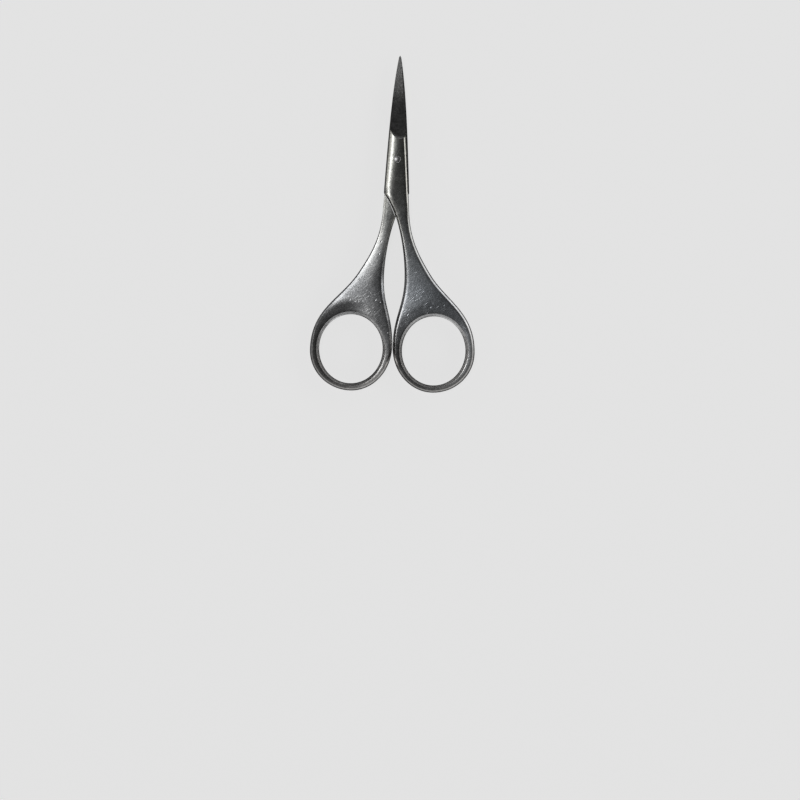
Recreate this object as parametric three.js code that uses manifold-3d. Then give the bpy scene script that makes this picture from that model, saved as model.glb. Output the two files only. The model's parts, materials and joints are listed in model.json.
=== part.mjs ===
// Lash and brow scissors: two forged steel halves that cross at one rivet.
// Millimetres. The scissors lie flat: +Y to the tips, +Z up through the front face.
// Every outline below is measured from the rivet's axis and from the plane between the two halves.
import * as THREE from 'three';
import { mergeVertices } from 'three/addons/utils/BufferGeometryUtils.js';
import Module from 'manifold-3d';

const wasm = await Module();
wasm.setup();

// Whole object
const TIP_Y = 27.86;
const BOW_BOTTOM_Y = -62.14;
const STOCK = 2.6;
const RUN_GAP = 0.05;
const SHOULDER_GAP = 0.15;

// Half outline: blade back, joint corner, shank, bow
const TIP_HALF_WIDTH = 0.3;
const TIP_START_Y = 27.4;
const CORNER = [-3.4, -9.0];
const WAIST = [2.77, -32.0];
const BOW_INNER = [0.05, -50.0];
const BOW_BOTTOM_X = 10.95;
const BOW_OUTER = [22.07, -51.4];
const FLARE = [11.59, -32.74];
const NECK = [3.44, -13.0];

// Finger hole
const HOLE_CENTRE = [11.1, -50.95];
const HOLE_HALF_WIDTH = 8.52;
const HOLE_HALF_LENGTH = 9.25;
const HOLE_ROUND = 0.93;

// Ground outer face of the blade: a flat that leans to the cutting edge and to the tip
const GRIND_AT = 7.0;
const GRIND_HEIGHT = 0.515;
const GRIND_LEAN = 0.1775;
const GRIND_FALL = 0.0127;
const PLUNGE_Y = 9.2;
const PLUNGE_RADIUS = 5.0;

// Joint
const BORE_RADIUS = 0.65;
const DIMPLE_RADIUS = 1.05;
const DIMPLE_DEPTH = 0.42;
const RIVET_RADIUS = 0.6;
const RIVET_TAIL_RADIUS = 0.84;
const RIVET_TAIL_TOP = 1.45;
const RIVET_HEAD_RADIUS = 0.94;
const RIVET_HEAD_RECESS = 0.04;

// Fineness of curved faces
const ROUND_STEPS = 3;
const TURN_STEPS = 28;

const cubic = (a, b, c, d) => new THREE.CubicBezierCurve(
  new THREE.Vector2(...a), new THREE.Vector2(...b), new THREE.Vector2(...c), new THREE.Vector2(...d));

// The edges of one half in order, counterclockwise from the tip.
// round: width and height of the edge rounding at the start and at the end of the edge.
// ease: above 1, the rounding changes mostly near the start.
const bowLeftX = BOW_BOTTOM_X - BOW_INNER[0];
const bowRightX = BOW_OUTER[0] - BOW_BOTTOM_X;
const tipLeft = [-TIP_HALF_WIDTH, TIP_START_Y];
const tipRight = [TIP_HALF_WIDTH - 0.06, TIP_START_Y];
const spine = cubic(tipLeft, [-1.88, 18.7], [-2.71, 4.97], CORNER);
const diagonal = cubic(CORNER, [0.52, -13.26], [WAIST[0], -24.01], WAIST);
const edges = [
  { curve: spine, steps: 14, round: [0.18, 0.3, 1.9, 0.75] },
  { curve: diagonal, steps: 18, round: [1.9, 0.75, 0.5, 0.45], ease: 4 },
  { curve: cubic(WAIST, [WAIST[0], -39.17], [BOW_INNER[0], -41.95], BOW_INNER),
    steps: 12, round: [0.5, 0.45, 0.75, 0.9] },
  { curve: new THREE.EllipseCurve(BOW_BOTTOM_X, BOW_INNER[1], bowLeftX, BOW_INNER[1] - BOW_BOTTOM_Y,
      Math.PI, 1.5 * Math.PI), steps: 12, round: [0.75, 0.9, 0.62, 1.0] },
  { curve: new THREE.EllipseCurve(BOW_BOTTOM_X, BOW_OUTER[1], bowRightX, BOW_OUTER[1] - BOW_BOTTOM_Y,
      1.5 * Math.PI, 2 * Math.PI), steps: 12, round: [0.62, 1.0, 0.85, 0.95] },
  { curve: cubic(BOW_OUTER, [BOW_OUTER[0], -41.85], [16.56, -38.9], FLARE),
    steps: 12, round: [0.85, 0.95, 0.55, 0.5] },
  { curve: cubic(FLARE, [6.88, -26.91], [3.9, -21.36], NECK), steps: 10, round: [0.55, 0.5, 0.5, 0.5] },
  { curve: cubic(NECK, [2.66, -0.04], [1.31, 16.22], tipRight), steps: 12, round: [0.5, 0.5, 0.08, 0.3] },
  { curve: new THREE.QuadraticBezierCurve(new THREE.Vector2(...tipRight),
      new THREE.Vector2(0, 2 * TIP_Y - TIP_START_Y), new THREE.Vector2(...tipLeft)),
    steps: 4, round: [0.08, 0.3, 0.18, 0.3] },
];
const hole = [
  { curve: new THREE.EllipseCurve(...HOLE_CENTRE, HOLE_HALF_WIDTH, HOLE_HALF_LENGTH, 2 * Math.PI, 0, true),
    steps: 40, round: [HOLE_ROUND, 1.0, HOLE_ROUND, 1.0] },
];

// Points of a closed run of edges, each with its rounding and its direction into the metal.
function loopOf(run) {
  const points = [];
  for (const { curve, steps, round, ease = 1 } of run) {
    for (let i = 0; i < steps; i++) {
      const p = curve.getPoint(i / steps);
      const part = 1 - (1 - i / steps) ** ease;
      points.push({ x: p.x, y: p.y,
        wide: round[0] + (round[2] - round[0]) * part,
        high: round[1] + (round[3] - round[1]) * part });
    }
  }
  return points.map((p, i) => {
    const a = points[(i + points.length - 1) % points.length];
    const b = points[(i + 1) % points.length];
    const before = new THREE.Vector2(a.y - p.y, p.x - a.x).normalize();
    const after = new THREE.Vector2(p.y - b.y, b.x - p.x).normalize();
    const inward = before.clone().add(after).normalize();
    inward.divideScalar(Math.max(inward.dot(after), 0.5));
    return { ...p, inward };
  });
}

// A plate of the stock thickness inside the loops, with every edge rounded over.
function roundedPlate(loops) {
  const levels = [];
  for (let k = 0; k <= ROUND_STEPS; k++) levels.push([-1, 0.5 * Math.PI * (1 - k / ROUND_STEPS)]);
  for (let k = 0; k <= ROUND_STEPS; k++) levels.push([1, 0.5 * Math.PI * k / ROUND_STEPS]);
  const positions = [];
  const index = [];
  const bottom = [];
  const top = [];
  for (const loop of loops) {
    const n = loop.length;
    const base = positions.length / 3;
    for (const [side, angle] of levels) {
      for (const p of loop) {
        const inset = p.wide * (1 - Math.cos(angle));
        const z = side * (STOCK / 2 - p.high + p.high * Math.sin(angle));
        positions.push(p.x + p.inward.x * inset, p.y + p.inward.y * inset, z);
      }
    }
    for (let k = 0; k + 1 < levels.length; k++) {
      for (let i = 0; i < n; i++) {
        const a = base + k * n + i;
        const b = base + k * n + (i + 1) % n;
        index.push(a, b, b + n, a, b + n, a + n);
      }
    }
    bottom.push(loop.map((p, i) => base + i));
    top.push(loop.map((p, i) => base + (levels.length - 1) * n + i));
  }
  const flat = (ring) => ring.map((v) => new THREE.Vector2(positions[3 * v], positions[3 * v + 1]));
  const cap = (rings, flip) => {
    const all = rings.flat();
    for (const [a, b, c] of THREE.ShapeUtils.triangulateShape(flat(rings[0]), rings.slice(1).map(flat))) {
      if (flip) index.push(all[a], all[c], all[b]);
      else index.push(all[a], all[b], all[c]);
    }
  };
  cap(top, false);
  cap(bottom, true);
  const geometry = new THREE.BufferGeometry();
  geometry.setAttribute('position', new THREE.Float32BufferAttribute(positions, 3));
  geometry.setIndex(index);
  return geometry;
}

// A closed body for joining and cutting.
function bodyOf(geometry) {
  geometry.deleteAttribute('normal');
  geometry.deleteAttribute('uv');
  const merged = mergeVertices(geometry, 1e-5);
  const position = merged.getAttribute('position');
  const triangles = [];
  for (let i = 0; i < merged.index.count; i += 3) {
    const t = [merged.index.getX(i), merged.index.getX(i + 1), merged.index.getX(i + 2)];
    if (new Set(t).size === 3) triangles.push(t);
  }
  const corner = (v) => new THREE.Vector3().fromBufferAttribute(position, v);
  let volume = 0;
  for (const [a, b, c] of triangles) volume += corner(a).dot(corner(b).cross(corner(c)));
  const turned = volume < 0 ? triangles.map(([a, b, c]) => [a, c, b]) : triangles;
  return new wasm.Manifold(new wasm.Mesh({ numProp: 3,
    vertProperties: Float32Array.from(position.array), triVerts: Uint32Array.from(turned.flat()) }));
}

function geometryOf(body) {
  const mesh = body.getMesh();
  const geometry = new THREE.BufferGeometry();
  geometry.setAttribute('position', new THREE.Float32BufferAttribute(mesh.vertProperties, mesh.numProp));
  geometry.setIndex(Array.from(mesh.triVerts));
  geometry.computeVertexNormals();
  return geometry;
}

// Turned profile of radius and height about the rivet's axis.
function turned(profile) {
  const geometry = new THREE.LatheGeometry(profile.map(([r, z]) => new THREE.Vector2(r, z)), TURN_STEPS);
  return geometry.rotateX(Math.PI / 2);
}

// What is cut away behind the blade and joint, down to the shoulder the other half's joint rests beside.
function backStep() {
  const shape = new THREE.Shape();
  shape.moveTo(7, -6);
  for (let t = 0; t < 0.46; t += 0.05) {
    const p = diagonal.getPoint(t);
    const along = diagonal.getTangent(t);
    shape.lineTo(-(p.x + along.y * SHOULDER_GAP), p.y - along.x * SHOULDER_GAP);
  }
  shape.lineTo(-7, -18);
  shape.lineTo(-7, TIP_Y + 4);
  shape.lineTo(7, TIP_Y + 4);
  const depth = STOCK;
  const geometry = new THREE.ExtrudeGeometry(shape, { depth, bevelEnabled: false });
  return geometry.translate(0, 0, RUN_GAP / 2 - depth);
}

// What the grinding wheel takes off the outer face of the blade.
function grind() {
  const height = (y) => GRIND_HEIGHT - GRIND_FALL * (y - GRIND_AT);
  const shape = new THREE.Shape();
  shape.moveTo(TIP_Y + 4, height(TIP_Y + 4));
  shape.lineTo(TIP_Y + 4, 6);
  shape.lineTo(PLUNGE_Y - 0.8 * PLUNGE_RADIUS, 6);
  shape.absarc(PLUNGE_Y, height(PLUNGE_Y) + PLUNGE_RADIUS, PLUNGE_RADIUS,
    1.5 * Math.PI - Math.asin(0.8), 1.5 * Math.PI, false);
  const half = 6;
  const geometry = new THREE.ExtrudeGeometry(shape,
    { depth: 2 * half, bevelEnabled: false, curveSegments: 8 });
  return geometry.applyMatrix4(new THREE.Matrix4().set(
    0, 0, 1, -half,
    1, 0, 0, 0,
    0, 1, -GRIND_LEAN, GRIND_LEAN * half,
    0, 0, 0, 1));
}

// One half: the plate, stepped at the back, ground at the blade, bored and dimpled for the rivet.
const bore = turned([[0, -STOCK], [BORE_RADIUS, -STOCK], [BORE_RADIUS, STOCK / 2 - DIMPLE_DEPTH],
  [DIMPLE_RADIUS, STOCK / 2], [DIMPLE_RADIUS, STOCK], [0, STOCK]]);
const half = bodyOf(roundedPlate([loopOf(edges), loopOf(hole)]))
  .subtract(bodyOf(backStep()))
  .subtract(bodyOf(grind()))
  .subtract(bodyOf(bore));

// The rivet: a flush head at the back and a domed end in the dimple of the front half.
const headTop = -STOCK / 2 + RIVET_HEAD_RECESS;
const tailBase = STOCK / 2 - DIMPLE_DEPTH + 0.02;
const tailRim = tailBase + 0.26;
const dome = [];
for (let k = 0; k <= 6; k++) {
  const angle = 0.5 * Math.PI * k / 6;
  dome.push([RIVET_TAIL_RADIUS * Math.cos(angle), tailRim + (RIVET_TAIL_TOP - tailRim) * Math.sin(angle)]);
}
const rivet = bodyOf(turned([[0, headTop], [RIVET_HEAD_RADIUS, headTop],
  [RIVET_RADIUS, headTop + DIMPLE_DEPTH - 0.08], [RIVET_RADIUS, tailBase], ...dome.slice(0, -1),
  [0, RIVET_TAIL_TOP]]));

const steel = new THREE.MeshStandardMaterial({ color: 0x8d9094, roughness: 0.36, metalness: 1 });
const bright = new THREE.MeshStandardMaterial({ color: 0xa9abae, roughness: 0.28, metalness: 1 });
steel.name = 'satin_steel';
bright.name = 'rivet_steel';

const centreY = -(TIP_Y + BOW_BOTTOM_Y) / 2;
const group = new THREE.Group();
group.name = 'brow_scissors';
function place(name, geometry, material) {
  const mesh = new THREE.Mesh(geometry.translate(0, centreY, STOCK / 2), material);
  mesh.name = name;
  group.add(mesh);
}
place('finger_half', geometryOf(half), steel);
place('thumb_half', geometryOf(half).rotateY(Math.PI), steel);
place('pivot_rivet', geometryOf(rivet), bright);

export default group;
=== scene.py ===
import json
import math
from collections import namedtuple
from functools import partial

import bmesh
import bpy
import numpy as np
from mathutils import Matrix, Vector
from mathutils.geometry import delaunay_2d_cdt


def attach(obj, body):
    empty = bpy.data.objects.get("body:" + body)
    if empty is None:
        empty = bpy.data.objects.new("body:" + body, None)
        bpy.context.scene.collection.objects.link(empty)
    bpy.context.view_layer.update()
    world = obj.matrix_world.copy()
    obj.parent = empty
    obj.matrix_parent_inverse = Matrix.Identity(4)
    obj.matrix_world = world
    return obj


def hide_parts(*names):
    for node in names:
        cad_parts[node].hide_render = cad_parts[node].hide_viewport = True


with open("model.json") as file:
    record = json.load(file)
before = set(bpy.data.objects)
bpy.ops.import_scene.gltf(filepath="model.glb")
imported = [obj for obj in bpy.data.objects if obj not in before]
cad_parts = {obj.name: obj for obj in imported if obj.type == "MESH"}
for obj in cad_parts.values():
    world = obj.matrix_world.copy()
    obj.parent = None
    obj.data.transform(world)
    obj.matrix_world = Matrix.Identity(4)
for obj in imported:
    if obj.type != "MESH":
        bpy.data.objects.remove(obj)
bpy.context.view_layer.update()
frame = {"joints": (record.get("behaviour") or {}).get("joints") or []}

scene = bpy.context.scene

# Lengths are in millimetres from the rivet's axis and the plane between the halves until a mesh is placed.
MM = 0.001
PIVOT = np.array(frame["joints"][0]["pos_m"])

# Stock and gaps
STOCK = 2.6
RUN_GAP = 0.05
SHOULDER_GAP = 0.15

# Outline of one half: its corners, then the curves between them
TIP_Y = 27.86
TIP_LEFT = (-0.3, 27.4)
TIP_RIGHT = (0.24, 27.4)
TIP_PEAK = (0.0, TIP_Y + (TIP_Y - TIP_LEFT[1]) / 3)
CORNER = (-3.4, -9.0)
WAIST = (2.77, -32.0)
BOW_INNER = (0.05, -50.0)
BOW_BOTTOM = (10.95, -62.14)
BOW_OUTER = (22.07, -51.4)
FLARE = (9.76, -30.7)
NECK = (3.44, -13.0)
SPINE = (TIP_LEFT, (-1.88, 18.7), (-2.71, 4.97), CORNER)
DIAGONAL = (CORNER, (0.52, -13.26), (WAIST[0], -24.01), WAIST)
INNER_SIDE = (WAIST, (WAIST[0], -39.17), (BOW_INNER[0], -41.95), BOW_INNER)
OUTER_SIDE = (BOW_OUTER, (BOW_OUTER[0], -40.52), (14.27, -37.62), FLARE)
SHANK = (FLARE, (5.09, -23.54), (3.81, -19.5), NECK)
CUTTING_EDGE = (NECK, (2.66, -0.04), (1.31, 16.22), TIP_RIGHT)
TIP_ROUND = (TIP_RIGHT, TIP_PEAK, TIP_PEAK, TIP_LEFT)

# Finger hole
HOLE_CENTRE = (11.1, -50.95)
HOLE_HALF = (8.52, 9.25)
HOLE_STEPS = 220

# How an edge is finished: width of the whole bevel, tilt of its flat in degrees, width of the soft ridge
# towards the face and width of the steep strip towards the wall, on the front and then on the back.
Finish = namedtuple("Finish", (
    "front_wide front_tilt front_inner front_outer "
    "back_wide back_tilt back_inner back_outer"))
AT_TIP = Finish(0.03, 50, 0.005, 0.01, 0.03, 50, 0.005, 0.01)
AT_CORNER = Finish(0.35, 50, 0.04, 0.15, 0.4, 45, 0.05, 0.1)
AT_BEND = Finish(0.56, 34, 0.08, 0.24, 0.4, 47, 0.05, 0.11)
AT_DIAGONAL = Finish(0.6, 49, 0.16, 0.22, 0.41, 51, 0.05, 0.12)
AT_CROTCH = Finish(0.77, 54, 0.32, 0.22, 0.42, 56, 0.05, 0.15)
AT_WAIST = Finish(1.12, 57, 0.55, 0.27, 0.78, 43, 0.08, 0.18)
AT_INNER_SIDE = Finish(0.93, 57, 0.28, 0.23, 0.8, 42, 0.09, 0.19)
AT_BOW_INNER = Finish(0.8, 58, 0.1, 0.2, 0.8, 54, 0.1, 0.2)
AT_BOW_BOTTOM = Finish(0.62, 50, 0.05, 0.25, 0.62, 50, 0.05, 0.25)
AT_BOW_OUTER = Finish(0.7, 46, 0.05, 0.28, 0.72, 49, 0.05, 0.32)
AT_SIDE = Finish(0.72, 33, 0.05, 0.3, 0.6, 48, 0.05, 0.16)
AT_FLARE = Finish(0.74, 32, 0.05, 0.3, 0.42, 47, 0.05, 0.17)
AT_NECK = Finish(0.5, 27, 0.05, 0.12, 0.25, 36, 0.05, 0.05)
AT_JOINT = Finish(0.57, 29, 0.05, 0.25, 0.25, 42, 0.05, 0.05)
AT_HOLE = Finish(0.82, 44, 0.1, 0.15, 0.82, 44, 0.1, 0.15)

# Tilt of the steep strip at the wall and at the flat, and tilt where the soft ridge starts
STRIP_TILT = (83, 63)
RIDGE_TILT = 12

# What stays of the wall between the two bevels, and of the strip and the bevel where there is little room
LEAST_WALL = 0.12
LEAST_STRIP = 0.05
LEAST_BEVEL = 0.1

# Fineness: steps across a bevel, and the grid of points on the faces. The height of its rows and its distance
# from the border are in grid steps.
ROUND_STEPS = 12
FACE_GRID = 0.38
FACE_ROW = 0.866
FACE_CLEAR = 0.6
FACE_X = (-4, 23)

# Least cosine by which an inset is drawn out at a corner, and a length that counts as none
LEAST_MITRE = 0.5
TOUCH = 1e-6

# How the faces are crowned: at each height, how many degrees the face tilts down towards the outer edge, in
# even steps from the inner edge to the outer one. The tilts are blended on a grid of heights and columns.
FRONT_CROWN = (
    (-48, (0, 0)),
    (-40, (-5.2, 5.0)),
    (-36.2, (-5.2, 3.8)),
    (-32.2, (-4.3, 1.0)),
    (-27.4, (-2.5, 3.0)),
    (-22.8, (-0.4, 2.6)),
    (-18.8, (1.5, 4.9)),
    (-14.7, (0.8, 6.0)),
    (-10.7, (1.5, 5.6)),
    (-5.4, (1.5, 6.5)),
    (2.7, (1.5, 6.5)),
    (9.0, (1.5, 5.0)),
    (28, (0, 0)))
BACK_CROWN = (
    (-49, (0, 0, 0, 0, 0)),
    (-44, (-4, 0, 0, 1, 4)),
    (-40, (-7, 1, 2, 3.2, 6.5)),
    (-36.2, (-8.5, 2.2, 2.9, 3.9, 5.5)),
    (-32.2, (-10, -4.2, 2.2, 3.9, 5.9)),
    (-27.4, (-6, 0.7, 4.0, 5.5, 9.5)),
    (-22.8, (-1.5, 0.4, 3.2, 6.3, 10.4)),
    (-18.8, (-3, 0.3, 1.6, 3.1, 6.6)),
    (-14.7, (-4, -1.2, 0, 2.0, 4.8)),
    (-10.7, (-4, -2, 0, 2.5, 3.4)),
    (28, (0, 0, 0, 0, 0)))
CROWN_SPAN = (-70, 40)
CROWN_STEP = 0.25
CROWN_COLUMNS = 81
CROWN_BLEND = 1.8
CROWN_BLEND_COLUMNS = 4

# How steeply the faces fall towards the finger hole, by the direction from its centre: 0 is the outer side,
# 90 the top. The slope holds up to the first distance from the hole and ends at the second. The directions
# are taken in even turns, and the slopes are blended over some of them.
FRONT_DISH = ((0, 0.06), (360, 0.06))
BACK_DISH = ((0, 0.09), (30, 0.15), (55, 0.19), (92, 0.19), (107, 0.07), (120, 0.03), (150, 0.02),
             (185, 0.05), (230, 0.08), (360, 0.09))
DISH_REACH = (2.75, 4.15)
DISH_TURN = 4
DISH_BLEND_TURNS = 2.2

# Rounding on the left of the joint: its width at each height, its slope at the edge, the power by which it
# steepens, and the share of its width that it goes on past the line. It fades from its top to the tip and
# over a stretch above its foot. Below the bend its line leaves the edge by a slope and a curve.
JOINT_ROUND_WIDE = ((-13, 1.0), (-10.5, 1.7), (-8, 2.8), (-5.4, 3.2), (2.7, 3.7), (8, 3.4))
JOINT_ROUND_SLOPE = 0.40
JOINT_ROUND_POWER = 2.6
JOINT_ROUND_PAST = -0.3
JOINT_ROUND_TOP = 9
JOINT_ROUND_FOOT = CORNER[1] - 6
JOINT_ROUND_FADE = 2.5
JOINT_BEND_Y = -7.0
JOINT_BEND = (0.06, 0.052)

# Ground face of the blade: its height, its fall to the tip and its lean to the right as a slope at each
# height. It runs out at the joint in an arc, which bows up on both sides.
GRIND_AT = 7.0
GRIND_HEIGHT = 0.515
GRIND_FALL = 0.0127
BLADE_LEAN = ((5, 0.07), (7, 0.095), (9.5, 0.145), (11, 0.165), (13.5, 0.165), (15, 0.135), (16.5, 0.09),
              (18.2, 0.05), (20.4, 0.026), (22.5, 0.014), (24.7, 0.006), (32, 0.0))
RUN_OUT = 6.2
RUN_OUT_REACH = 0.98
PLUNGE_Y = 8.3
PLUNGE_MIDDLE = 0.5
PLUNGE_HALF = 1.9
PLUNGE_BOW = 0.5
PLUNGE_BOW_MOST = 3
GRIND_HALF = 6
GRIND_COLUMNS = 49
GRIND_FINE_ROWS = (4.2, 10.4, 32)
GRIND_ROWS = (11, 32, 60)

# Milled face behind the blade: the share of the diagonal that its shoulder follows, the shoulder's bevel, how
# many times its width the cutter goes past it, and where the cutter leaves the half on either side
SHOULDER_SHARE = 0.46
SHOULDER_POINTS = 40
SHOULDER_BEVEL = 0.11
SHOULDER_BEVEL_TILT = 36
SHOULDER_BEVEL_OVER = 1.5
STEP_RIGHT_Y = -6
STEP_LEFT_Y = -18

# Shallow bevel on the left edge of the milled face: its ends, its width at two heights, its slope, how far
# its cutter goes past the edge, and how far below the milled face it starts
RELIEF_Y = (-9.6, 25.0)
RELIEF_POINTS = 70
RELIEF_WIDE = ((9.6, 0.6), (25.0, 0.22))
RELIEF_SLOPE = 0.2
RELIEF_PAST = 1.0
RELIEF_OVERLAP = 0.01

# How far the cutters reach outside the half
CUTTER_SIDE = 7
CUTTER_END = 32
CUTTER_TOP = 8.0
CUTTER_BOTTOM = -4.0

# Bore of the joint: the hole, its countersink and a shallow dish round it
BORE_RADIUS = 0.65
BORE_TOP = 0.9
SINK_RADIUS = 0.89
SINK_TOP = 1.17
DISH_RADIUS = 1.9
DISH_TOP = 1.28
BORE_STEPS = 72

# Rivet: countersunk head at the back, shank, and a peened dome whose tilt in degrees is given by the radius
HEAD_FLAT = 0.9
HEAD_BACK = -1.26
HEAD_RADIUS = 0.94
HEAD_RIM = -1.24
HEAD_FOOT = -0.92
SHANK_RADIUS = 0.6
SHANK_TOP = 0.9
RIVET_RADIUS = 0.86
RIVET_RIM = 1.19
RIVET_TOP = 1.45
DOME_TILT = ((0, 0), (0.3, 6), (0.72, 11.5), (0.81, 24), (RIVET_RADIUS, 64))
DOME_POINTS = 31
RIVET_STEPS = 64

# Shading: how far from an edge its wear and painted highlight reach, and from what angle in degrees an edge
# is sharp
EDGE_REACH = 1.3
HALF_SHARP = 16
RIVET_SHARP = 30

# Floor, in metres
FLOOR_HALF = 4
FLOOR_Z = -0.0003
FLOOR_COLOUR = (0.3, 0.3, 0.3, 1)
FLOOR_GLOW = 0.70

# Camera, in metres and radians: straight above, turned by the lean of the scissors in the picture
CAMERA_PLACE = (0.00243, -0.0472, 0.5969)
CAMERA_TURN = 0.027
CAMERA_LENS = 100
CAMERA_SENSOR = 36
CAMERA_CLIP = (0.01, 20)

# Lights: distance and size in metres, compass direction and angle off the vertical in degrees, and radiance
LIGHT_AWAY = 1.6
KEY_AZIMUTH = 155
KEY_OFF_ZENITH = 21
KEY_SIZE = (0.33, 0.33)
KEY_RADIANCE = 3.0
FILL_AZIMUTH = 16
FILL_OFF_ZENITH = 68
FILL_SIZE = (2.4, 0.45)
FILL_RADIANCE = 0.55

# World: its levels, what the horizon gains towards +x and +y, and the heights between which each zone comes
# in, as the sine of the elevation
ZENITH = 0.018
HORIZON = 0.28
HORIZON_X = 0.12
HORIZON_Y = -0.08
HORIZON_FROM_ABOVE = (0.6, 0.15)
HORIZON_FROM_BELOW = (-0.6, -0.2)
BAND = 0.45
BAND_FROM_ABOVE = (0.52, 0.3)
BAND_FROM_BELOW = (0.02, 0.14)
KEY_GLOW = 0.48
KEY_GLOW_FOCUS = 30
BACKDROP = 0.76


def bezier(points, t):
    a, b, c, d = (np.array(p, float) for p in points)
    t = np.asarray(t, float)[:, None]
    return (1 - t) ** 3 * a + 3 * (1 - t) ** 2 * t * b + 3 * (1 - t) * t * t * c + t ** 3 * d


def arc(centre, half, start, end, t):
    angle = start + (end - start) * np.asarray(t, float)
    return np.c_[centre[0] + half[0] * np.cos(angle), centre[1] + half[1] * np.sin(angle)]


def look_up(table, at):
    """What a table of pairs gives at some places, in straight lines between its rows."""
    places, values = zip(*table)
    return np.interp(at, places, values)


def outline():
    """Points of one half, counterclockwise from the tip, and the finish at each. A stretch is a curve, its
    number of points, and the finish at some shares of its way."""
    pi = math.pi
    bow_left = partial(arc, (BOW_BOTTOM[0], BOW_INNER[1]),
                       (BOW_BOTTOM[0] - BOW_INNER[0], BOW_INNER[1] - BOW_BOTTOM[1]), pi, 1.5 * pi)
    bow_right = partial(arc, (BOW_BOTTOM[0], BOW_OUTER[1]),
                        (BOW_OUTER[0] - BOW_BOTTOM[0], BOW_OUTER[1] - BOW_BOTTOM[1]), 1.5 * pi, 2 * pi)
    stretches = (
        (partial(bezier, SPINE), 150, ((0, AT_TIP), (0.4, AT_CORNER))),
        (partial(bezier, DIAGONAL), 90, (
            (0, AT_CORNER), (0.07, AT_BEND), (0.17, AT_BEND), (0.3, AT_DIAGONAL), (0.55, AT_CROTCH),
            (1, AT_WAIST))),
        (partial(bezier, INNER_SIDE), 84, ((0, AT_WAIST), (0.6, AT_INNER_SIDE), (1, AT_BOW_INNER))),
        (bow_left, 80, ((0, AT_BOW_INNER), (0.6, AT_BOW_BOTTOM))),
        (bow_right, 80, ((0, AT_BOW_BOTTOM), (1, AT_BOW_OUTER))),
        (partial(bezier, OUTER_SIDE), 96, ((0, AT_BOW_OUTER), (0.35, AT_SIDE), (1, AT_FLARE))),
        (partial(bezier, SHANK), 96, ((0, AT_FLARE), (1, AT_NECK))),
        (partial(bezier, CUTTING_EDGE), 160, (
            (0, AT_NECK), (0.12, AT_JOINT), (0.5, AT_JOINT), (1, AT_TIP))),
        (partial(bezier, TIP_ROUND), 12, ((0, AT_TIP),)))
    points, finish = [], []
    for curve, steps, stations in stretches:
        t = np.arange(steps) / steps
        points.append(curve(t))
        shares = [share for share, _ in stations]
        columns = zip(*(made for _, made in stations))
        finish.append(np.array([np.interp(t, shares, column) for column in columns]).T)
    return np.vstack(points), np.vstack(finish)


def hole():
    """Points of the finger hole, clockwise, and the finish at each."""
    points = arc(HOLE_CENTRE, HOLE_HALF, 2 * math.pi, 0, np.arange(HOLE_STEPS) / HOLE_STEPS)
    return points, np.tile(AT_HOLE, (HOLE_STEPS, 1))


def left_and_right():
    """The outline's left and right side, each as points of rising height."""
    points = outline()[0]
    bottom, top = np.argmin(points[:, 1]), np.argmax(points[:, 1])
    left = np.vstack([points[top:], points[:bottom + 1]])[::-1]
    return left, points[bottom:top + 1]


def above_corner(left):
    """The left side from the joint's corner up."""
    return left[left[:, 1] >= CORNER[1] - TOUCH]


def bevel_profile(wide, tilt, outer, inner):
    """How far in a bevel lies, step by step from the wall to the face, and how far down its two parts go: a
    steep strip that is slightly rounded, and a flat with a soft ridge. Strip, flat and ridge take a third of
    the steps each."""
    s = np.arange(ROUND_STEPS + 1)[:, None] / ROUND_STEPS
    steep, less = (math.radians(v) for v in STRIP_TILT)
    soft = math.radians(RIDGE_TILT)
    first = steep + (less - steep) * np.clip(3 * s, 0, 1)
    left_of_flat = np.clip(2 - 3 * s, 0, 1)
    last = soft * np.clip(3 - 3 * s, 0, 1)
    outer_round = outer / (math.sin(steep) - math.sin(less))
    inner_round = inner / math.sin(soft)
    flat = wide - outer - inner
    across = outer_round * (math.sin(steep) - np.sin(first)) + flat * (1 - left_of_flat)
    across = across + inner_round * (math.sin(soft) - np.sin(last))
    strip = outer_round * (math.cos(less) - np.cos(first))
    return across, strip, flat * np.tan(np.radians(tilt)) * left_of_flat + inner_round * (1 - np.cos(last))


def joint_rounding(p, left):
    """How far the front face falls away on the left of the joint. The line that it falls towards is the
    left edge and, from just above the joint's corner down, a curve that bends away to the right."""
    edge = above_corner(left)
    below = np.maximum(JOINT_BEND_Y - p[:, 1], 0)
    line = np.interp(np.maximum(p[:, 1], JOINT_BEND_Y), edge[:, 1], edge[:, 0])
    line = line + JOINT_BEND[0] * below + JOINT_BEND[1] * below ** 2
    wide = look_up(JOINT_ROUND_WIDE, p[:, 1])
    near = np.clip((p[:, 0] - line) / wide, JOINT_ROUND_PAST, 1)
    to_tip = np.clip((TIP_Y - p[:, 1]) / (TIP_Y - JOINT_ROUND_TOP), 0, 1)
    fade = to_tip * np.clip((p[:, 1] - JOINT_ROUND_FOOT) / JOINT_ROUND_FADE, 0, 1)
    return wide * fade * JOINT_ROUND_SLOPE * (1 - near) ** JOINT_ROUND_POWER / JOINT_ROUND_POWER


def softened(values, sigma):
    """Values along the first axis, smoothed by a bell whose width is this many steps."""
    reach = math.ceil(3 * sigma)
    bell = np.exp(-0.5 * (np.arange(-reach, reach + 1) / sigma) ** 2)
    padded = np.pad(values, ((reach, reach), (0, 0)), mode="edge")
    return np.array([np.convolve(column, bell / bell.sum(), mode="valid") for column in padded.T]).T


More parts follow.
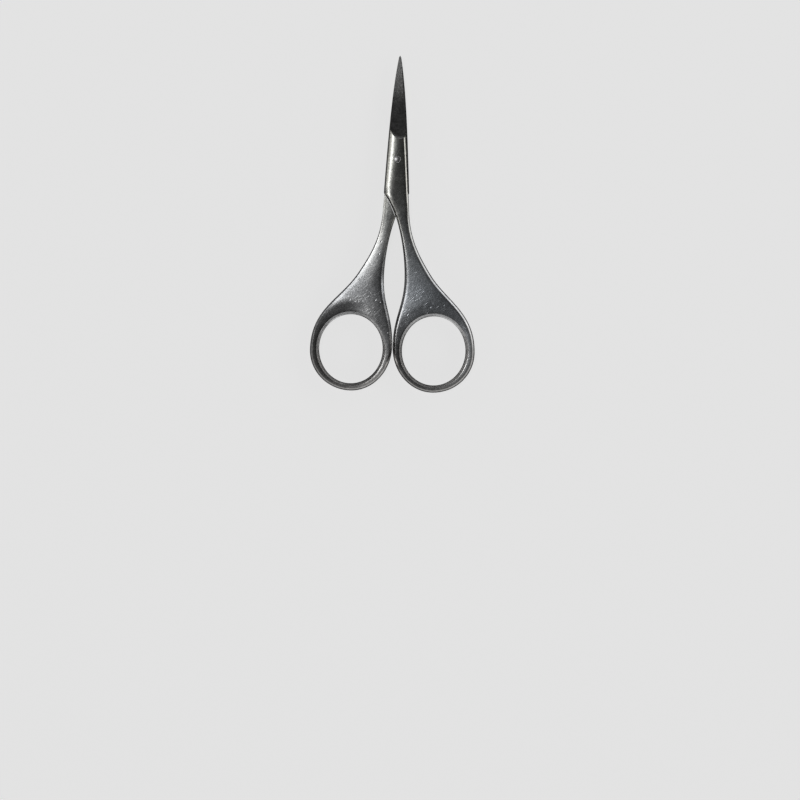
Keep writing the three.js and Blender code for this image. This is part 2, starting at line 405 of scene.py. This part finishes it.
def hole_fall(p, table):
    """How far a face falls away towards the finger hole. The table gives the slope by the direction from
    the hole's centre, in degrees from the outer side over the top."""
    x = (p[:, 0] - HOLE_CENTRE[0]) / HOLE_HALF[0]
    y = (p[:, 1] - HOLE_CENTRE[1]) / HOLE_HALF[1]
    turn = np.arange(-180, 541, DISH_TURN)
    slopes = softened(look_up(table, turn % 360)[:, None], DISH_BLEND_TURNS)[:, 0]
    slope = np.interp(np.degrees(np.arctan2(y, x)) % 360, turn, slopes)
    away = (np.hypot(x, y) - 1) * sum(HOLE_HALF) / 2
    start, end = DISH_REACH
    far = np.clip(end - away, 0, end - start) ** 2 / (2 * (end - start))
    return slope * (far + np.maximum(start - away, 0))


def crown_fall(p, table, left, right):
    """How far a face falls away from the crest of its crown: its tilts are blended on a grid of heights and
    shares of the width, summed up across the width and read off at the points."""
    at = np.arange(*CROWN_SPAN, CROWN_STEP)
    u = np.linspace(0, 1, CROWN_COLUMNS)
    rows = np.array([np.interp(u, np.linspace(0, 1, len(row)), row) for _, row in table])
    tilt = np.array([np.interp(at, [y for y, _ in table], column) for column in rows.T]).T
    tilt = softened(softened(tilt, CROWN_BLEND / CROWN_STEP).T, CROWN_BLEND_COLUMNS).T
    slope = np.tan(np.radians(tilt))
    steps = (slope[:, 1:] + slope[:, :-1]) / 2 * (u[1] - u[0])
    fall = np.c_[np.zeros(len(at)), np.cumsum(steps, axis=1)]
    fall -= fall.min(axis=1)[:, None]
    start = np.interp(p[:, 1], left[:, 1], left[:, 0])
    wide = np.maximum(np.interp(p[:, 1], right[:, 1], right[:, 0]) - start, TOUCH)
    # Just short of the last row and column, so that there is always a next one to blend with
    short = 1.001
    row = np.clip((p[:, 1] - at[0]) / CROWN_STEP, 0, len(at) - short)
    column = np.clip((p[:, 0] - start) / wide, 0, 1) * (len(u) - short)
    i, j = row.astype(int), column.astype(int)
    v, w = row - i, column - j
    low = fall[i, j] * (1 - w) + fall[i, j + 1] * w
    high = fall[i + 1, j] * (1 - w) + fall[i + 1, j + 1] * w
    return wide * (low * (1 - v) + high * v)


def front_height(p, left, right):
    """How high the front face lies over the plane between the halves."""
    crown = crown_fall(p, FRONT_CROWN, left, right)
    return STOCK / 2 - crown - joint_rounding(p, left) - hole_fall(p, FRONT_DISH)


def back_height(p, left, right):
    """How far the back face lies behind the plane between the halves."""
    return STOCK / 2 - crown_fall(p, BACK_CROWN, left, right) - hole_fall(p, BACK_DISH)


def inward(p):
    """Steps into a counterclockwise ring from each point, which move its edges in by one."""
    before, after = p - np.roll(p, 1, 0), np.roll(p, -1, 0) - p
    n1 = np.c_[-before[:, 1], before[:, 0]]
    n2 = np.c_[-after[:, 1], after[:, 0]]
    n1 /= np.linalg.norm(n1, axis=1)[:, None]
    n2 /= np.linalg.norm(n2, axis=1)[:, None]
    m = n1 + n2
    m /= np.linalg.norm(m, axis=1)[:, None]
    return m / np.maximum((m * n2).sum(1), LEAST_MITRE)[:, None]


def inside(points, ring):
    """Which points lie inside a ring."""
    x, y = points[:, 0][:, None], points[:, 1][:, None]
    a, b = ring, np.roll(ring, -1, 0)
    cross = (a[:, 1] > y) != (b[:, 1] > y)
    with np.errstate(divide="ignore", invalid="ignore"):
        at = a[:, 0] + (y - a[:, 1]) * (b[:, 0] - a[:, 0]) / (b[:, 1] - a[:, 1])
    return (cross & (x < at)).sum(1) % 2 == 1


def mesh_of(name, verts, faces, materials=()):
    """A mesh with its faces turned outwards."""
    mesh = bpy.data.meshes.new(name)
    mesh.from_pydata([tuple(v) for v in verts], [], [tuple(f) for f in faces])
    mesh.validate()
    for material in materials:
        mesh.materials.append(material)
    bm = bmesh.new()
    bm.from_mesh(mesh)
    bmesh.ops.recalc_face_normals(bm, faces=bm.faces)
    if bm.calc_volume(signed=True) < 0:
        bmesh.ops.reverse_faces(bm, faces=bm.faces)
    bm.to_mesh(mesh)
    bm.free()
    return mesh


def ring_ties(first, count):
    """Pairs of neighbours on a ring of points."""
    return [(first + i, first + (i + 1) % count) for i in range(count)]


def face_triangles(border, outer_count, ties):
    """Points on a face inside its border, on a staggered grid that stays clear of it, and the triangles
    between border and grid. The border is the outer ring and then the ring of the hole."""
    outer_ring, hole_ring = np.split(border, [outer_count])

    def on_face(points):
        return inside(points, outer_ring) & ~inside(points, hole_ring)

    xs = np.arange(*FACE_X, FACE_GRID)
    ys = np.arange(BOW_BOTTOM[1], TIP_Y, FACE_GRID * FACE_ROW)
    grid = np.array([(x + (j % 2) * FACE_GRID / 2, y) for j, y in enumerate(ys) for x in xs])
    grid = grid[on_face(grid)]
    near = np.array([np.linalg.norm(border - g, axis=1).min() for g in grid])
    grid = grid[near > FACE_CLEAR * FACE_GRID]
    flat = np.vstack([border, grid])
    _, _, tris, came, _, _ = delaunay_2d_cdt([tuple(q) for q in flat], ties, [], 0, 1e-7)
    tris = np.array([[came[v][0] for v in t] for t in tris])
    return grid, tris[on_face(flat[tris].mean(1))]


def plate():
    """The whole forging at stock thickness, with bevelled edges and slightly crowned faces."""
    loops = [outline(), hole()]
    edge = np.vstack([points for points, _ in loops])
    finish = Finish(*np.vstack([made for _, made in loops]).T)
    inset = np.vstack([inward(points) for points, _ in loops])
    left, right = left_and_right()
    outer_count, count = len(loops[0][0]), len(edge)
    ties = ring_ties(0, outer_count) + ring_ties(outer_count, count - outer_count)
    room = (front_height(edge, left, right) + back_height(edge, left, right) - LEAST_WALL) / 2
    sides = (
        (-1, back_height, finish.back_wide, finish.back_tilt, finish.back_inner, finish.back_outer),
        (1, front_height, finish.front_wide, finish.front_tilt, finish.front_inner, finish.front_outer))
    verts, faces, starts = [], [], {}
    for side, height, wide, tilt, inner, outer in sides:
        grid, tris = face_triangles(edge + inset * wide[:, None], outer_count, ties)
        across, strip, rest = bevel_profile(wide, tilt, outer, inner)
        down = rest + strip * np.clip((room - rest[0]) / strip[0], LEAST_STRIP, 1)
        down *= np.clip(room / down[0], LEAST_BEVEL, 1)
        starts[side] = []
        for k in range(ROUND_STEPS + 1):
            at = edge + inset * across[k][:, None]
            starts[side].append(len(verts))
            verts.extend(np.c_[at, side * (height(at, left, right) - down[k])])
        first = len(verts)
        verts.extend(np.c_[grid, side * height(grid, left, right)])
        ids = np.where(tris < count, starts[side][-1] + tris, first + tris - count)
        faces.extend(ids.tolist() if side > 0 else ids[:, ::-1].tolist())
    levels = starts[-1][::-1] + starts[1]
    for low, high in zip(levels, levels[1:]):
        faces.extend((low + i, low + j, high + j, high + i) for i, j in ties)
    return np.array(verts), faces


def block(bottom_x, bottom_y, bottom_z, top_z):
    """A closed block under a flat top whose underside follows a grid of heights."""
    ny, nx = bottom_z.shape
    count = nx * ny
    gx, gy = np.meshgrid(bottom_x, bottom_y)
    low = np.c_[gx.ravel(), gy.ravel(), bottom_z.ravel()]
    high = np.c_[gx.ravel(), gy.ravel(), np.full(count, top_z)]
    ids = np.arange(count).reshape(ny, nx)
    corners = np.stack([ids[:-1, :-1], ids[:-1, 1:], ids[1:, 1:], ids[1:, :-1]], axis=-1).reshape(-1, 4)
    faces = []
    for quad in corners.tolist():
        faces.append(tuple(quad[::-1]))
        faces.append(tuple(v + count for v in quad))
    rim = np.concatenate([ids[0], ids[1:, -1], ids[-1, -2::-1], ids[-2:0:-1, 0]]).tolist()
    for a, b in zip(rim, rim[1:] + rim[:1]):
        faces.append((a, b, b + count, a + count))
    return np.vstack([low, high]), faces


def loft(levels, count):
    """Faces of a closed body between rings of points, one ring after the other, with a face on each end."""
    faces = [tuple(range(count)), tuple(range((levels - 1) * count, levels * count))]
    for low in range(0, (levels - 1) * count, count):
        high = low + count
        faces += [(low + i, low + j, high + j, high + i) for i, j in ring_ties(0, count)]
    return faces


def grind():
    """What is ground off the outer face of the blade: a leaning flat that runs out in an arc at the joint
    and levels out towards the tip."""
    x = np.linspace(-GRIND_HALF, GRIND_HALF, GRIND_COLUMNS)
    y = np.concatenate([np.linspace(*GRIND_FINE_ROWS), np.linspace(*GRIND_ROWS)])
    end = PLUNGE_Y + PLUNGE_BOW * np.clip(((x - PLUNGE_MIDDLE) / PLUNGE_HALF) ** 2, 0, PLUNGE_BOW_MOST)
    short = np.clip(end[None] - y[:, None], 0, RUN_OUT_REACH * RUN_OUT)
    out = RUN_OUT - np.sqrt(RUN_OUT ** 2 - short ** 2)
    lean = look_up(BLADE_LEAN, y)
    z = (GRIND_HEIGHT - GRIND_FALL * (y - GRIND_AT))[:, None] + out - lean[:, None] * x[None]
    return block(x, y, z, CUTTER_TOP)


def back_step():
    """What is milled off behind the blade and joint, down to the shoulder, with a bevel along its edge. The
    shoulder follows the diagonal of the other half, which is turned over."""
    line = bezier(DIAGONAL, np.linspace(0, SHOULDER_SHARE, SHOULDER_POINTS))
    along = np.gradient(line, axis=0)
    along /= np.linalg.norm(along, axis=1)[:, None]
    away = np.c_[-along[:, 1], -along[:, 0]]
    shoulder = line * (-1, 1) + SHOULDER_GAP * away
    over = SHOULDER_BEVEL_OVER * SHOULDER_BEVEL
    outside = shoulder + over * away
    fall = math.tan(math.radians(SHOULDER_BEVEL_TILT))
    edge_z = -back_height(shoulder, *left_and_right())
    first = [(CUTTER_SIDE, STEP_RIGHT_Y)]
    last = [(-CUTTER_SIDE, STEP_LEFT_Y), (-CUTTER_SIDE, CUTTER_END), (CUTTER_SIDE, CUTTER_END)]

    def ring(path, z):
        heights = np.broadcast_to(z, len(path))
        ends = np.full(len(last), heights[-1])
        return np.c_[np.vstack([first, path, last]), np.r_[heights[0], heights, ends]]

    rings = [ring(outside, CUTTER_BOTTOM), ring(outside, edge_z - (over - SHOULDER_BEVEL) * fall),
             ring(shoulder, edge_z + SHOULDER_BEVEL * fall), ring(shoulder, RUN_GAP / 2)]
    return np.vstack(rings), loft(len(rings), len(rings[0]))


def back_relief():
    """What is taken off the left edge of the milled face: a shallow bevel that narrows towards the tip."""
    y = np.linspace(*RELIEF_Y, RELIEF_POINTS)
    edge = above_corner(left_and_right()[0])
    low = RUN_GAP / 2 - RELIEF_OVERLAP
    verts = []
    for at_y, wide, edge_x in zip(y, look_up(RELIEF_WIDE, y), np.interp(y, edge[:, 1], edge[:, 0])):
        inner, outer = edge_x + wide, edge_x - RELIEF_PAST
        high = low + (wide + RELIEF_PAST) * RELIEF_SLOPE
        section = ((inner, low), (outer, high), (outer, CUTTER_BOTTOM), (inner, CUTTER_BOTTOM))
        verts += [(x, at_y, z) for x, z in section]
    return np.array(verts), loft(RELIEF_POINTS, 4)


def turned(profile, steps):
    """A closed body turned about the rivet's axis from pairs of radius and height, of which the first and
    the last lie on the axis."""
    verts = [(0, 0, profile[0][1])]
    for r, z in profile[1:-1]:
        verts += [(r * math.cos(a), r * math.sin(a), z) for a in 2 * math.pi * np.arange(steps) / steps]
    verts.append((0, 0, profile[-1][1]))
    faces = []
    for i, j in ring_ties(0, steps):
        faces.append((0, 1 + j, 1 + i))
        for k in range(len(profile) - 3):
            a, b = 1 + k * steps, 1 + (k + 1) * steps
            faces.append((a + i, a + j, b + j, b + i))
        last = 1 + (len(profile) - 3) * steps
        faces.append((last + i, last + j, len(verts) - 1))
    return np.array(verts, float), faces


def bore():
    """What is drilled out for the rivet."""
    profile = [(0, -STOCK), (BORE_RADIUS, -STOCK), (BORE_RADIUS, BORE_TOP), (SINK_RADIUS, SINK_TOP),
               (DISH_RADIUS, DISH_TOP), (DISH_RADIUS, STOCK), (0, STOCK)]
    return turned(profile, BORE_STEPS)


def rivet():
    """The rivet, with its head at the back and its dome in front."""
    r = np.linspace(0, RIVET_RADIUS, DOME_POINTS)
    tilt = np.radians(look_up(DOME_TILT, r))
    slope = (np.tan(tilt[1:]) + np.tan(tilt[:-1])) / 2
    dome_z = RIVET_TOP - np.r_[0, np.cumsum(slope * np.diff(r))]
    head = [(0, HEAD_BACK), (HEAD_FLAT, HEAD_BACK), (HEAD_RADIUS, HEAD_RIM)]
    shank = [(SHANK_RADIUS, HEAD_FOOT), (SHANK_RADIUS, SHANK_TOP)]
    dome = [(RIVET_RADIUS, RIVET_RIM)] + list(zip(r[:0:-1], dome_z[:0:-1])) + [(0, RIVET_TOP)]
    return turned(head + shank + dome, RIVET_STEPS)


def cut(mesh, cutters):
    """The mesh less each cutter; new faces take the cutter's material."""
    body = bpy.data.objects.new("work", mesh)
    scene.collection.objects.link(body)
    tools = []
    for i, (shape, material) in enumerate(cutters):
        tool = bpy.data.objects.new("tool_%d" % i, mesh_of("tool_%d" % i, *shape, materials=[material]))
        scene.collection.objects.link(tool)
        tools.append(tool)
        less = body.modifiers.new("cut_%d" % i, "BOOLEAN")
        less.operation = "DIFFERENCE"
        less.solver = "EXACT"
        less.material_mode = "TRANSFER"
        less.object = tool
    done = bpy.data.meshes.new_from_object(body.evaluated_get(bpy.context.evaluated_depsgraph_get()))
    for o in [body] + tools:
        bpy.data.objects.remove(o)
    return done


def place(name, mesh, body, nodes, sharp, turn=False, edges=None):
    """Puts a mesh in the row frame, in metres, as the piece that stands for a node. Where edges are given,
    the attribute edge says how near a point is to them, for the wear and the painted highlight along them."""
    co = np.zeros(len(mesh.vertices) * 3)
    mesh.vertices.foreach_get("co", co)
    co = co.reshape(-1, 3)
    if edges is not None:
        away = np.array([np.linalg.norm(edges - p, axis=1).min() for p in co[:, :2]])
        near = mesh.attributes.new("edge", "FLOAT", "POINT")
        near.data.foreach_set("value", np.clip(1 - away / EDGE_REACH, 0, 1).astype(np.float32))
    if turn:
        co *= (-1, 1, -1)
    co = co * MM + PIVOT
    mesh.vertices.foreach_set("co", co.astype(np.float32).ravel())
    mesh.update()
    mesh.shade_smooth()
    mesh.set_sharp_from_angle(angle=math.radians(sharp))
    obj = bpy.data.objects.new(name, mesh)
    scene.collection.objects.link(obj)
    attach(obj, body)
    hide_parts(nodes)
    return obj


def node(tree, kind, inputs=None, **settings):
    """Adds a shader node; an input is a value or another node's output."""
    made = tree.nodes.new("ShaderNode" + kind)
    for key, value in settings.items():
        setattr(made, key, value)
    for key, value in (inputs or {}).items():
        if isinstance(value, bpy.types.NodeSocket):
            tree.links.new(value, made.inputs[key])
        else:
            made.inputs[key].default_value = value
    return made


def maths(tree, operation, a, b=0.0, c=0.0):
    return node(tree, "Math", {0: a, 1: b, 2: c}, operation=operation).outputs[0]


def plus(tree, total, value, weight):
    """A total with a weighted value added."""
    return maths(tree, "MULTIPLY_ADD", value, weight, total)


def spread(tree, value, low, high, to_low=0.0, to_high=1.0):
    """The value with the span from low to high drawn out to another span, and held at its ends."""
    inputs = {"Value": value, "From Min": low, "From Max": high, "To Min": to_low, "To Max": to_high}
    return node(tree, "MapRange", inputs).outputs["Result"]


def noise(tree, at, size, detail=3.0, rough=0.55):
    """Noise whose features are about this many millimetres across."""
    inputs = {"Vector": at, "Scale": 1000.0 / size, "Detail": detail, "Roughness": rough}
    return node(tree, "TexNoise", inputs).outputs["Fac"]


def vectors(tree, operation, a, b, c=None):
    inputs = {0: a, 1: b} if c is None else {0: a, 1: b, 2: c}
    return node(tree, "VectorMath", inputs, operation=operation).outputs[0]


def swung(tree, at, turn):
    """A place turned about the vertical."""
    return node(tree, "VectorRotate", {"Vector": at, "Angle": turn}, rotation_type="Z_AXIS").outputs[0]


def streaks(tree, at, turn, width, length):
    """Noise drawn out at one angle in the plane of the halves."""
    scale = (1000.0 / width, 1000.0 / length, 1000.0 / length)
    drawn = vectors(tree, "MULTIPLY", swung(tree, at, turn), scale)
    return node(tree, "TexNoise", {"Vector": drawn, "Scale": 1.0, "Detail": 1.0}).outputs["Fac"]


def hairlines(tree, at, turn, width, length, share):
    """Fine straight lines that lie at one angle in the plane of the halves."""
    soft = 0.05
    return spread(tree, streaks(tree, at, turn, width, length), 1 - share - soft, 1 - share + soft)


def crossed(tree, at, width, share, sets):
    """Hairlines at several angles; each set is an angle and a length."""
    marks = [hairlines(tree, at, turn, width, length, share) for turn, length in sets]
    most = marks[0]
    for more in marks[1:]:
        most = maths(tree, "MAXIMUM", most, more)
    return most


def ramp(tree, factor, low, high, middle=None):
    """A colour that changes with a factor; the middle is a place between 0 and 1 and its colour."""
    made = node(tree, "ValToRGB", {"Fac": factor})
    stops = made.color_ramp.elements
    stops[0].color = (*low, 1)
    stops[1].color = (*high, 1)
    if middle:
        stops.new(middle[0]).color = (*middle[1], 1)
    return made.outputs["Color"]


def new_material(name):
    """A bare metal, its node tree, its shader and the place on the piece."""
    material = bpy.data.materials.new(name)
    material.use_nodes = True
    tree = material.node_tree
    shader = tree.nodes["Principled BSDF"]
    shader.inputs["Metallic"].default_value = 1.0
    at = node(tree, "TexCoord").outputs["Object"]
    return material, tree, shader, at


def finish_surface(tree, shader, colour, rough, height, distance):
    """Joins a colour, a roughness and a relief to the shader. The distance is the relief's depth in
    metres."""
    bump = node(tree, "Bump", {"Height": height, "Strength": 1.0, "Distance": distance})
    tree.links.new(colour, shader.inputs["Base Color"])
    tree.links.new(rough, shader.inputs["Roughness"])
    tree.links.new(bump.outputs["Normal"], shader.inputs["Normal"])


def nick_marks(tree, at, along):
    """Small dents, each in a bent cell of its own. Most cells have none, and those at the joint fewest."""
    bend = (0.0005, 0.0005, 0.0005)
    cells_per_metre = (760.0, 460.0, 600.0)
    shank_to_neck = (-0.006, 0.004)
    warp = node(tree, "TexNoise", {"Vector": at, "Scale": 2200.0, "Detail": 2.0}).outputs["Color"]
    bent = swung(tree, vectors(tree, "MULTIPLY_ADD", warp, bend, at), 0.6)
    bent = vectors(tree, "MULTIPLY", bent, cells_per_metre)
    cells = node(tree, "TexVoronoi", {"Vector": bent, "Scale": 1.0})
    draw = node(tree, "SeparateColor", {"Color": cells.outputs["Color"]}).outputs["Red"]
    few = maths(tree, "GREATER_THAN", draw, spread(tree, along, *shank_to_neck, 0.70, 0.965))
    return maths(tree, "MULTIPLY", spread(tree, cells.outputs["Distance"], 0.2, 0.09), few)


def scuff_marks(tree, at, along):
    """Patches of short scratches on the flares and bows."""
    shank_to_flare = (-0.004, -0.012)
    marks = crossed(tree, at, 0.3, 0.36, ((2.5, 1.7), (0.9, 2.1)))
    marks = maths(tree, "MULTIPLY", marks, spread(tree, noise(tree, at, 3.4, detail=2.0), 0.48, 0.6))
    return maths(tree, "MULTIPLY", marks, spread(tree, along, *shank_to_flare))


def painted_reflection_tint(tree, across, along, edge):
    """Slight tints painted on as reflected colour, not the steel's own: warm on the bows, at the joint and
    along the edges, and cool on the flares, most on the right one."""
    bow_to_joint = (-0.038, 0.012)
    half_to_half = (-0.006, 0.006)
    lengthwise = ramp(tree, spread(tree, along, *bow_to_joint), (1.0, 0.99, 0.97), (1.0, 0.995, 0.92),
                      middle=(0.4, (0.965, 0.99, 1.015)))
    off_edges = spread(tree, edge, 0.5, 0.1)
    rightwards = maths(tree, "MULTIPLY", spread(tree, across, *half_to_half), off_edges)
    crosswise = ramp(tree, rightwards, (1.015, 1.0, 0.985), (0.97, 1.0, 1.03))
    return vectors(tree, "MULTIPLY", lengthwise, crosswise)


def satin_steel():
    """Tumbled stainless steel: fine grain, a slight waviness, stray scratches, nicks and polished edges,
    which are also lightened as a painted highlight.
    """
    material, tree, shader, at = new_material("satin_steel")
    across, along, _ = node(tree, "SeparateXYZ", {"Vector": at}).outputs
    edge = node(tree, "Attribute", attribute_name="edge").outputs["Fac"]
    flare_to_shank = (-0.012, -0.002)
    shank_to_joint = (-0.002, 0.012)
    bow_middle_to_top = (-0.035, -0.024)
    grain = noise(tree, at, 0.55, detail=4.0, rough=0.7)
    cloud = noise(tree, at, 2.6)
    wave = noise(tree, at, 5.5, detail=1.0)
    brush = streaks(tree, at, turn=1.3, width=0.32, length=2.6)
    scratches = crossed(tree, at, 0.16, 0.28, ((0.5, 3.0), (1.35, 2.2), (2.3, 3.6), (2.9, 2.6)))
    scuffs = scuff_marks(tree, at, along)
    nicks = nick_marks(tree, at, along)
    # Edges: polished by wear, which lowers the roughness, and lightened in colour near the outline as a
    # painted highlight.
    wear_and_painted_sheen = maths(tree, "MULTIPLY", spread(tree, edge, 0.4, 0.9), spread(tree, cloud, 0.3, 0.6, 0.55, 1.0))

    tone = plus(tree, maths(tree, "MULTIPLY", cloud, 0.25), grain, 0.5)
    tone = spread(tree, plus(tree, tone, brush, 0.25), 0.32, 0.68)
    # The edges' lightening is a painted highlight; the scratches, scuffs and nicks are the steel's own marks.
    for marks, weight in ((wear_and_painted_sheen, 0.35), (scratches, 0.3), (scuffs, 0.7), (nicks, 1.0)):
        tone = plus(tree, tone, marks, weight)
    colour = ramp(tree, tone, (0.38, 0.385, 0.395), (0.83, 0.835, 0.845))
    # Painted reflection colour: warm and cool tints by place that stand in for what the steel reflects, not
    # its own colour.
    colour = vectors(tree, "MULTIPLY", colour, painted_reflection_tint(tree, across, along, edge))

    rough = maths(tree, "MINIMUM", spread(tree, along, *shank_to_joint, 0.17, 0.13),
                  spread(tree, along, *bow_middle_to_top, 0.08, 0.17))
    for marks, weight in ((grain, 0.10), (cloud, 0.08), (scratches, 0.06), (wear_and_painted_sheen, -0.07)):
        rough = plus(tree, rough, marks, weight)

    height = maths(tree, "MULTIPLY", grain, spread(tree, along, *flare_to_shank, 1.9, 1.6))
    for marks, weight in ((brush, 0.7), (scratches, -0.15), (scuffs, -0.8), (nicks, -2.4)):
        height = plus(tree, height, marks, weight)
    height = maths(tree, "MULTIPLY", height, spread(tree, edge, 0.05, 0.42, 1.0, 0.05))
    finish_surface(tree, shader, colour, rough, plus(tree, height, wave, 1.2), 1e-5)
    return material


def ground_steel():
    """Blades and inner faces: ground across the blade, in fine lines, and left a little brighter."""
    material, tree, shader, at = new_material("ground_steel")
    along = node(tree, "SeparateXYZ", {"Vector": at}).outputs["Y"]
    blade_root_to_tip = (0.026, 0.045)
    crosswise = math.pi / 2
    lines = hairlines(tree, at, crosswise + 0.06, width=0.09, length=6.0, share=0.5)
    coarse = hairlines(tree, at, crosswise - 0.04, width=0.22, length=4.0, share=0.3)
    cloud = noise(tree, at, 1.7, detail=4.0, rough=0.6)
    fine = noise(tree, at, 0.5, detail=4.0, rough=0.7)
    patch = noise(tree, at, 6.0, detail=2.0)
    to_tip = spread(tree, along, *blade_root_to_tip)

    tone = plus(tree, maths(tree, "MULTIPLY", cloud, 0.5), lines, 0.35)
    tone = maths(tree, "MULTIPLY", plus(tree, tone, coarse, 0.2), 0.4)
    tone = plus(tree, tone, spread(tree, fine, 0.38, 0.62), 0.6)
    colour = ramp(tree, tone, (0.36, 0.36, 0.36), (1.0, 1.0, 0.99))

    rough = maths(tree, "MULTIPLY_ADD", cloud, 0.14, 0.11)
    for marks, weight in ((patch, 0.08), (to_tip, 0.06)):
        rough = plus(tree, rough, marks, weight)

    height = maths(tree, "MULTIPLY", coarse, -0.12)
    for marks, weight in ((lines, 0.10), (cloud, 0.5), (fine, 2.3)):
        height = plus(tree, height, marks, weight)
    finish_surface(tree, shader, colour, rough, height, 1e-5)
    return material


def rivet_steel():
    """The rivet's ends: peened over, then polished, so that small dents are left."""
    material, tree, shader, at = new_material("rivet_steel")
    cells = node(tree, "TexVoronoi", {"Vector": at, "Scale": 2600.0}, feature="SMOOTH_F1")
    grain = noise(tree, at, 0.12)
    colour = ramp(tree, grain, (0.74, 0.74, 0.74), (0.95, 0.95, 0.95))
    rough = maths(tree, "MULTIPLY_ADD", grain, 0.1, 0.25)
    height = plus(tree, cells.outputs["Distance"], grain, 0.15)
    finish_surface(tree, shader, colour, rough, height, 8e-6)
    return material


def make_halves():
    """Both halves. They are the same forging, and the thumb's is turned over."""
    satin = satin_steel()
    ground = ground_steel()
    half = cut(mesh_of("half", *plate(), materials=[satin]),
               [(back_step(), ground), (back_relief(), ground), (grind(), ground), (bore(), satin)])
    half.name = "finger_half_mesh"
    edges = np.vstack([outline()[0], hole()[0]])
    place("finger_half_steel", half.copy(), "finger_side", "finger_half", HALF_SHARP,
          edges=edges)
    place("thumb_half_steel", half.copy(), "thumb_side", "thumb_half", HALF_SHARP,
          edges=edges, turn=True)


def make_rivet():
    mesh = mesh_of("rivet", *rivet(), materials=[rivet_steel()])
    place("pivot_rivet_steel", mesh, "thumb_side", "pivot_rivet", RIVET_SHARP)


def make_floor():
    """A pale light table, which glows a little, so that shadows on it stay soft."""
    material = bpy.data.materials.new("floor")
    material.use_nodes = True
    shader = material.node_tree.nodes["Principled BSDF"]
    shader.inputs["Base Color"].default_value = FLOOR_COLOUR
    shader.inputs["Roughness"].default_value = 0.9
    shader.inputs["Specular IOR Level"].default_value = 0.0
    shader.inputs["Emission Color"].default_value = (1, 1, 1, 1)
    shader.inputs["Emission Strength"].default_value = FLOOR_GLOW
    corners = [(FLOOR_HALF * x, FLOOR_HALF * y, FLOOR_Z) for x, y in ((-1, -1), (1, -1), (1, 1), (-1, 1))]
    floor = bpy.data.objects.new("floor", mesh_of("floor", corners, [(0, 1, 2, 3)], [material]))
    floor.visible_glossy = False
    scene.collection.objects.link(floor)


def make_camera():
    """A camera that looks straight down on the front face."""
    camera = bpy.data.cameras.new("camera")
    camera.lens = CAMERA_LENS
    camera.sensor_width = CAMERA_SENSOR
    camera.clip_start, camera.clip_end = CAMERA_CLIP
    eye = bpy.data.objects.new("camera", camera)
    eye.location = CAMERA_PLACE
    eye.rotation_euler = (0, 0, CAMERA_TURN)
    scene.collection.objects.link(eye)
    scene.camera = eye


def compass(azimuth, off_zenith):
    """The direction at a compass angle and an angle off the vertical, in degrees."""
    a, t = math.radians(azimuth), math.radians(off_zenith)
    return Vector((math.cos(a) * math.sin(t), math.sin(a) * math.sin(t), math.cos(t)))


def softbox(name, azimuth, off_zenith, size, radiance):
    """A soft light that looks at the scissors from a compass direction and an angle off the vertical."""
    light = bpy.data.lights.new(name, "AREA")
    light.shape = "RECTANGLE"
    light.size, light.size_y = size
    light.energy = radiance * size[0] * size[1] * math.pi
    lamp = bpy.data.objects.new(name, light)
    lamp.location = LIGHT_AWAY * compass(azimuth, off_zenith)
    lamp.rotation_euler = (-lamp.location).to_track_quat("-Z", "Y").to_euler()
    scene.collection.objects.link(lamp)


def make_world():
    """A studio that is dark overhead, paler towards the horizon, most of all on the right, with a pale band
    low down and a glow round the key light. The camera itself sees a plain pale backdrop."""
    world = bpy.data.worlds.new("studio")
    scene.world = world
    world.use_nodes = True
    tree = world.node_tree
    direction = node(tree, "TexCoord").outputs["Generated"]
    x, y, z = node(tree, "SeparateXYZ", {"Vector": direction}).outputs
    level = maths(tree, "MULTIPLY_ADD", x, HORIZON_X, HORIZON)
    level = plus(tree, level, y, HORIZON_Y)
    low_down = maths(tree, "MINIMUM", spread(tree, z, *HORIZON_FROM_ABOVE),
                     spread(tree, z, *HORIZON_FROM_BELOW))
    level = maths(tree, "MULTIPLY_ADD", level, low_down, ZENITH)
    band = maths(tree, "MULTIPLY", spread(tree, z, *BAND_FROM_ABOVE), spread(tree, z, *BAND_FROM_BELOW))
    level = plus(tree, level, band, BAND)
    facing = node(tree, "VectorMath", {0: direction, 1: compass(KEY_AZIMUTH, KEY_OFF_ZENITH)},
                  operation="DOT_PRODUCT").outputs["Value"]
    glow = maths(tree, "POWER", maths(tree, "MAXIMUM", facing, 0.0), KEY_GLOW_FOCUS)
    level = plus(tree, level, glow, KEY_GLOW)
    seen = node(tree, "LightPath").outputs["Is Camera Ray"]
    unseen = maths(tree, "SUBTRACT", 1.0, seen)
    level = plus(tree, maths(tree, "MULTIPLY", level, unseen), seen, BACKDROP)
    background = tree.nodes["Background"]
    tree.links.new(level, background.inputs["Strength"])
    background.inputs["Color"].default_value = (1, 1, 1, 1)


make_halves()
make_rivet()
make_floor()
make_camera()
softbox("key", KEY_AZIMUTH, KEY_OFF_ZENITH, KEY_SIZE, KEY_RADIANCE)
softbox("fill", FILL_AZIMUTH, FILL_OFF_ZENITH, FILL_SIZE, FILL_RADIANCE)
make_world()
scene.view_settings.view_transform = "Standard"
